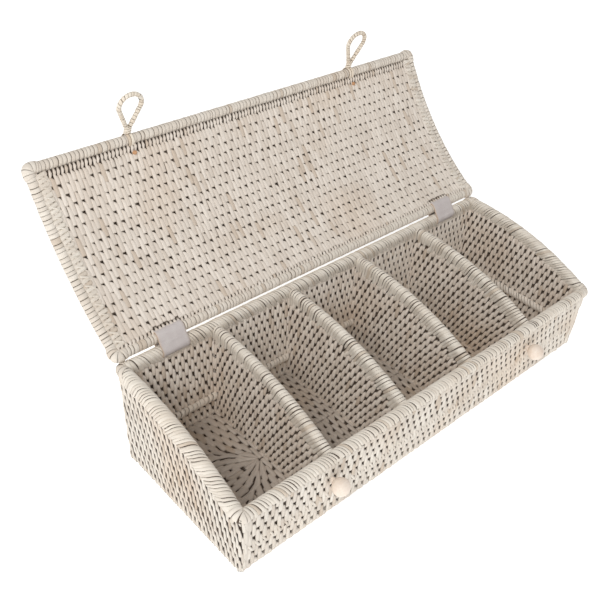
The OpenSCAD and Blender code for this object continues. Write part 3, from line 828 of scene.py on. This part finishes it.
# ---- lid
LID_REACH = LID_X - 2.0
LID_EDGE = RIM_R + 1.0             # where the weave ends beside a rim
STRAP_LO, STRAP_HI = (span("strap_right")[i][0] for i in (0, 1))
HOOK_LOOK = dict(slant=3.0, crest=3.7, width=COLUMN * 0.95, wedge=0.75, lean=-1.0, leave=6.4,
                 start=0.5, enter=2.4)
TIE_LOOK = dict(slant=2.0, crest=3.8, width=3.5, wedge=0.4, lean=0.0, leave=2.4, start=0.3)
CROSS_LOOK = dict(slant=-4.2, crest=4.2, width=1.8, wedge=0.4, lean=0.0, leave=2.2)


def beside_straps(a):
    """Where the lid's weave starts: a little further in at the straps, which swing there."""
    at_strap = (np.abs(a) > STRAP_LO - 2) & (np.abs(a) < STRAP_HI + 2)
    return LID_EDGE + 2.3 * at_strap


def lid_end(face, side):
    """The lid beside an end rim: a runs along the arc and b inwards from the rim."""
    def surface(a, b, h):
        return face(side * (LID_X - b), a, h)
    return surface


for inside, label in ((1, "inner"), (-1, "outer")):
    face = lid_face(inside)
    weave = Strands()
    weave.lay(face, *brick(-LID_REACH, LID_REACH, beside_straps, LID_ARC - LID_EDGE - 3.0), **LID_LOOK)
    weave.piece(f"lid_{label}_weave", "lid", "lid_weave", LID)
    # hooked stitches tie the weave to the long rims
    hooks = Strands()
    for low, high in ((LID_ARC - RIM_R - 6.0, LID_ARC - RIM_R + 3.0), (RIM_R - 3.0, RIM_R + 5.4)):
        stitches(hooks, face, -LID_REACH, LID_REACH, low, high, COLUMN, **HOOK_LOOK)
    hooks.piece(f"lid_{label}_hooks", "lid", "lid_weave", LID)
    # at the ends the ties lie flat and wide, across the rim, with thin ones crossing them
    ties = Strands()
    for s in (-1, 1):
        end = lid_end(face, s)
        stitches(ties, end, RIM_R, LID_ARC - RIM_R, RIM_R - 2.6, RIM_R + 7.0, 3.6, **TIE_LOOK)
        stitches(ties, end, RIM_R, LID_ARC - RIM_R, RIM_R - 2.0, RIM_R + 6.0, 7.2, **CROSS_LOOK)
    ties.piece(f"lid_{label}_ties", "lid", "lid_weave", RIM_CANE)
for node, (y, z) in (("lid_rim_back", HINGE), ("lid_rim_front", EDGE)):
    wraps(node + "_wrap", "lid", "wrapped_rod", WRAP,
          *straight((-LID_X, y, z), (LID_X, y, z)), RIM_R + 0.2, nodes=(node,))
for s, side in ((-1, "left"), (1, "right")):
    wraps(f"lid_rim_{side}_wrap", "lid", "wrapped_rod", WRAP,
          *bent(s * LID_X, LID_Y, LID_Z, LID_R, LID_FROM, LID_TO), RIM_R + 0.2, pitch=3.4,
          nodes=(f"lid_rim_{side}",))


def corner(name, body, place, first, second, radius):
    """Cane wound round a corner where two rods meet; first and second point along them."""
    place, first, second = (np.array(v, float) for v in (place, first, second))
    first, second = first / np.linalg.norm(first), second / np.linalg.norm(second)
    arm, swell = 6.0, 0.47
    begin, end = place + arm * first, place + arm * second
    bend = place - swell * arm * (first + second)
    t = np.linspace(0, 1, 15)[:, None]
    path = (1 - t) ** 2 * begin + 2 * t * (1 - t) * bend + t ** 2 * end
    wraps(name, body, "wrapped_rod", WRAP, *along(path, np.cross(first, second)), radius, pitch=2.2,
          tilt=0.5, bulge=0.4)


for sx, side in ((-1, "left"), (1, "right")):
    for sy, place in ((-1, "front"), (1, "back")):
        z = FRONT_Z if sy < 0 else BACK_Z
        slope = -(sy * HALF_Y - ARCH_Y) / (z - ARCH_Z)
        corner(f"rim_corner_{place}_{side}", "box", (sx * RIM_X, sy * HALF_Y, z), (-sx, 0, 0),
               (0, -sy, -sy * slope), RIM_R + 0.75)
    for (y, z), place in ((HINGE, "back"), (EDGE, "front")):
        away = np.array([y - LID_Y, z - LID_Z]) / LID_R
        inward = np.array([-away[1], away[0]]) * (-1 if place == "front" else 1)
        corner(f"lid_corner_{place}_{side}", "lid", (sx * LID_X, y, z), (-sx, 0, 0), (0, *inward),
               RIM_R + 0.7)


# ---- small pieces: straps, knobs, loops and the raw ends of their cane
def revolve(name, body, material, origin, axis, side, profile, around, node):
    """A turned piece that replaces a node: profile is (distance along axis, radius) from end to end."""
    axis, side, origin = (np.array(v, float) for v in (axis, side, origin))
    up = np.cross(axis, side)
    profile = np.array(profile, float)
    phi = np.arange(around) / around * 2 * math.pi
    ring = np.cos(phi)[:, None] * side + np.sin(phi)[:, None] * up
    xyz = origin + profile[:, None, :1] * axis + profile[:, None, 1:] * ring[None]
    k, m = len(profile), around
    i = np.arange(k - 1)[:, None] * m
    j = np.arange(m)[None, :]
    j2 = (j + 1) % m
    quads = np.stack([i + j, i + m + j, i + m + j2, i + j2], -1).reshape(-1, 4).tolist()
    ends = [list(range(m)), list(range((k - 1) * m, k * m))[::-1]]
    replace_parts(object_from(name, xyz.reshape(-1, 3), quads + ends, body, material), node)


STRAP_THICK, SOFT = 1.35, 0.4
STRAP_IN = RIM_R + 0.1
ROD_STEP = HINGE - np.array([HALF_Y, BACK_Z])
REACH = float(np.linalg.norm(ROD_STEP))


def strap(name):
    """A flat leather band round both rods, with soft cut edges."""
    lo, hi = span(name)
    middle, half = (lo[0] + hi[0]) / 2, (hi[0] - lo[0]) / 2
    ahead = np.array([0, *ROD_STEP / REACH])
    out = np.cross(ahead, [1.0, 0, 0])
    r = STRAP_IN + STRAP_THICK / 2
    turn = math.pi * r
    total = 2 * (REACH + turn)
    steps = 96
    s = np.arange(steps) / steps * total
    flat1 = s < REACH
    turn1 = (s >= REACH) & (s < REACH + turn)
    flat2 = (s >= REACH + turn) & (s < 2 * REACH + turn)
    angle = np.select([flat1, turn1, flat2], [0 * s, (s - REACH) / r, 0 * s + math.pi],
                      (s - 2 * REACH - turn) / r + math.pi)
    base = np.select([flat1, turn1, flat2], [s, 0 * s + REACH, 2 * REACH + turn - s], 0)
    normal = np.cos(angle)[:, None] * out + np.sin(angle)[:, None] * ahead
    start = np.array([0, HALF_Y, BACK_Z])
    # section across the band: x, then how far out of the middle of the leather
    h, t = half, STRAP_THICK / 2
    xs = np.linspace(-1, 1, 13)
    upper = [(x * (h - SOFT), t) for x in xs]
    lower = [(x * (h - SOFT), -t) for x in xs[::-1]]
    section = np.array(upper + [(h - 0.12, t - 0.2), (h, 0), (h - 0.12, 0.2 - t)]
                       + lower + [(0.12 - h, 0.2 - t), (-h, 0), (0.12 - h, t - 0.2)])
    ripple = 0.10 * np.sin(s * 0.9)[:, None] * np.cos(section[:, 0] * 0.22)[None, :]
    ripple = ripple + 0.06 * rng.normal(0, 1, (steps, 1))
    ripple = np.maximum(ripple, -0.05)
    place = (start + base[:, None] * ahead + r * normal)[:, None, :]
    sway = 0.18 * np.sin(s / total * 2 * math.pi * 3)[:, None]
    xyz = place + (section[:, 1] + ripple)[..., None] * normal[:, None, :]
    xyz = xyz + (middle + section[:, 0] + sway)[..., None] * np.array([1.0, 0, 0])
    k, m = steps, len(section)
    i = np.arange(k)[:, None] * m
    i2 = (np.arange(k)[:, None] + 1) % k * m
    j = np.arange(m)[None, :]
    j2 = (j + 1) % m
    quads = np.stack([i + j, i + j2, i2 + j2, i2 + j], -1).reshape(-1, 4)
    edge = np.clip((np.abs(section[:, 0]) - (h - 0.5)) / 0.4, 0, 1)[None, :] + np.zeros((k, 1))
    grain = np.stack([np.broadcast_to(section[:, 0], (k, m)), np.broadcast_to(s[:, None], (k, m)),
                      np.full((k, m), middle)], -1)
    obj = object_from(name + "_leather", xyz.reshape(-1, 3), quads, "straps", LEATHER,
                      {"edge": edge.ravel(), "fibre": grain.reshape(-1, 3)})
    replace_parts(obj, name)


for side in ("left", "right"):
    strap(f"strap_{side}")

KNOB_R = span("knob_left")[1][0] - middle_and_half("knob_left")[0][0]
KNOB_Z = middle_and_half("knob_left")[0][2]
KNOB_Y = span("knob_left")[0][1] + KNOB_R
PEG_R, PEG_END = 2.0, span("knob_left")[1][1] - KNOB_Y
for s, side in ((-1, "left"), (1, "right")):
    arc = np.linspace(0.12, math.pi - math.asin(PEG_R / KNOB_R), 26)
    ball = [(-KNOB_R * math.cos(a), KNOB_R * math.sin(a) * (1 - 0.015 * math.cos(2 * a))) for a in arc]
    peg = [(KNOB_R, PEG_R), (PEG_END, PEG_R)]
    revolve(f"knob_{side}_ball", "box", KNOB, (s * KNOB_X, KNOB_Y, KNOB_Z), (0, 1, 0),
            (1, 0, 0), ball + peg, 40, f"knob_{side}")

# loops: their own frame stands on the lid's front rod, leaning back
LOOP_LEAN = math.radians(107)
LOOP_UP = np.array([0, math.cos(LOOP_LEAN), math.sin(LOOP_LEAN)])
LOOP_FACE = np.array([0, math.sin(LOOP_LEAN), -math.cos(LOOP_LEAN)])
LOOP_R = 1.7                        # radius of the wrapped strand
LOOP_BEND = (span("loop_left")[1][0] - span("loop_left")[0][0]) / 2 - LOOP_R
LOOP_OFF, LOOP_REACH, LOOP_KNOT = 1.875, 29.72, 8.72
RING_HALF, RING_OUT = 2.5, RIM_R + 1.6
LOOP_TURN = math.pi / 2 + math.asin(LOOP_BEND / (LOOP_REACH - LOOP_KNOT + LOOP_R))


def loop(side, s):
    def place(x, y):
        return np.array([s * KNOB_X + x, EDGE[0], EDGE[1]]) + y * LOOP_UP + LOOP_OFF * LOOP_FACE

    def wound(piece, centre, length, radius, **look):
        wraps(f"loop_{side}_{piece}", f"loop_{side[0]}", "loop_cane", LOOP, centre, length, radius,
              **look)
    bow = [place(LOOP_BEND * math.sin(a), LOOP_REACH + LOOP_BEND * math.cos(a))
           for a in np.linspace(-LOOP_TURN, LOOP_TURN, 41)]
    line = [place(-0.5 * LOOP_R, LOOP_KNOT), *bow, place(0.5 * LOOP_R, LOOP_KNOT)]
    wound("strand", *along(line, LOOP_FACE), LOOP_R + 0.1, pitch=2.5, tilt=0.5, bulge=0.25, around=12,
          nodes=(f"loop_{side}",))
    wound("stem", *straight(place(0, 3.2), place(0, LOOP_KNOT)), LOOP_R + 0.1, pitch=2.6, tilt=0.4,
          bulge=0.25, around=12)
    wound("knot", *straight(place(0, LOOP_KNOT - 3.4), place(0, LOOP_KNOT + 2.7)), LOOP_R + 0.6,
          pitch=2.0, tilt=-0.9, bulge=0.5, around=16, oval=1.28)
    ring = [(s * KNOB_X + x, *EDGE) for x in (-RING_HALF, RING_HALF)]
    wound("ring", *straight(*ring), RING_OUT, pitch=2.4, tilt=0.3, bulge=0.6, around=28)


RAW_END = 4.7                      # the cut end stands just out of the weave
for s, side in ((-1, "left"), (1, "right")):
    loop(side, s)
    lo, hi = span(f"loop_end_{side}")
    centre = (lo + hi) / 2
    hole = math.atan2(centre[2] - LID_Z, centre[1] - LID_Y)
    axis = (0, -math.cos(hole), -math.sin(hole))
    stub = [(-2.6, 1.3), (-2.4, 1.5), (1.6, 1.5), (RAW_END - 0.4, 1.46), (RAW_END, 1.2),
            (RAW_END - 0.15, 0.5)]
    revolve(f"loop_{side}_raw_end", "lid", RAW, centre, axis, (1, 0, 0),
            stub, 20, f"loop_end_{side}")

# ---- underneath: rods between the floor's two weaves, and the wound base frame
def floor_rods():
    """Rods side by side round the floor, mitred at the corners, near black as painted shade in the
    floor's gaps.
    """
    around, pitch = 12, FLOOR_ROW / 2
    turn = np.arange(around) / around * 2 * math.pi
    u, v = np.array([(1.9 * math.cos(a), 1.0 * math.sin(a)) for a in turn]).T
    corners = ((1, -1), (1, 1), (-1, 1), (-1, -1))
    xyz, quads = [], []
    for ring in range(int(FLOOR_Y / pitch)):
        inset = 2.0 + ring * FLOOR_ROW / 2
        for k, (sx, sy) in enumerate(corners):
            x, y = sx * (FLOOR_X - inset + u), sy * (FLOOR_Y - inset + u)
            xyz.append(np.stack([x, y, FLOOR_Z - 0.1 + v], -1))
            here, there = (4 * ring + k) * around, (4 * ring + (k + 1) % 4) * around
            quads += [[here + j, there + j, there + (j + 1) % around, here + (j + 1) % around]
                      for j in range(around)]
    rods = object_from("floor_rods", np.concatenate(xyz), quads, "box", CORE_SHADE)
    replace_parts(rods, "base_panel")


floor_rods()
for side, begin, end in (("front", (-1, -1), (1, -1)), ("back", (-1, 1), (1, 1)),
                         ("left", (-1, -1), (-1, 1)), ("right", (1, -1), (1, 1))):
    ends = [(sx * BASE_X, sy * BASE_Y, BASE_R) for sx, sy in (begin, end)]
    wraps(f"base_frame_{side}_wrap", "box", "wrapped_rod", WRAP, *straight(*ends), BASE_R - 0.15,
          nodes=("base_frame",))

# ---- the CAD rods and sheets that stay take the near-black core material: painted shade under the weave
for name, obj in frame["nodes"].items():
    if not obj.hide_render:
        obj.data.materials.clear()
        obj.data.materials.append(CORE_SHADE)


# ================================================================ camera, light and ground
def camera():
    """The photo's camera, fitted to the box's corners."""
    az, el, roll = math.radians(43.867), math.radians(36.948), math.radians(3.578)
    d = np.array([math.sin(az) * math.cos(el), math.cos(az) * math.cos(el), -math.sin(el)])
    right = np.array([math.cos(az), -math.sin(az), 0.0])
    up = np.cross(right, d)
    r = math.cos(roll) * right + math.sin(roll) * up
    u = -math.sin(roll) * right + math.cos(roll) * up
    data = bpy.data.cameras.new("photo_camera")
    data.sensor_width = 36.0
    data.lens = 814.2 / 600 * 36.0
    data.clip_start, data.clip_end = 0.01, 20
    cam = bpy.data.objects.new("photo_camera", data)
    where = np.array([-382.96, -308.57, 457.52]) * MM
    rows = [[r[i], u[i], -d[i], where[i]] for i in range(3)]
    cam.matrix_world = Matrix(rows + [[0, 0, 0, 1]])
    bpy.context.scene.collection.objects.link(cam)
    bpy.context.scene.camera = cam


camera()


def area_light(name, place, target, size, energy, colour):
    data = bpy.data.lights.new(name, "AREA")
    data.shape, data.size, data.energy, data.color = "SQUARE", size, energy, colour
    lamp = bpy.data.objects.new(name, data)
    lamp.location = place
    lamp.rotation_euler = (Vector(target) - Vector(place)).to_track_quat("-Z", "Y").to_euler()
    bpy.context.scene.collection.objects.link(lamp)


area_light("key", (-1.45, -0.72, 1.7), (0, 0, 0.05), 0.9, 25, (1.0, 0.985, 0.96))

world = bpy.data.worlds.new("studio")
world.use_nodes = True
background = world.node_tree.nodes["Background"]
background.inputs["Color"].default_value = (1.0, 1.0, 1.0, 1)
background.inputs["Strength"].default_value = 0.54
bpy.context.scene.world = world
bpy.context.scene.view_settings.view_transform = "Standard"


def paper_ground():
    """A white, faintly mottled floor that ends far outside the picture."""
    mat, tree, bsdf = node_material("ground_paper")
    n = Nodes(tree)
    mottle = n.noise(n.place(), 3.0)
    n.put(bsdf.inputs["Base Color"], n.mix(mottle, (0.93, 0.93, 0.93), (0.95, 0.95, 0.95)))
    bsdf.inputs["Roughness"].default_value = 0.9
    bsdf.inputs["Emission Color"].default_value = (1.0, 1.0, 1.0, 1)
    bsdf.inputs["Emission Strength"].default_value = 0.55
    far = 12.0
    mesh = bpy.data.meshes.new("ground")
    corners = [(-far, -far, 0), (far, -far, 0), (far, far, 0), (-far, far, 0)]
    mesh.from_pydata(corners, [], [(0, 1, 2, 3)])
    mesh.materials.append(mat)
    ground = bpy.data.objects.new("ground", mesh)
    bpy.context.scene.collection.objects.link(ground)


paper_ground()
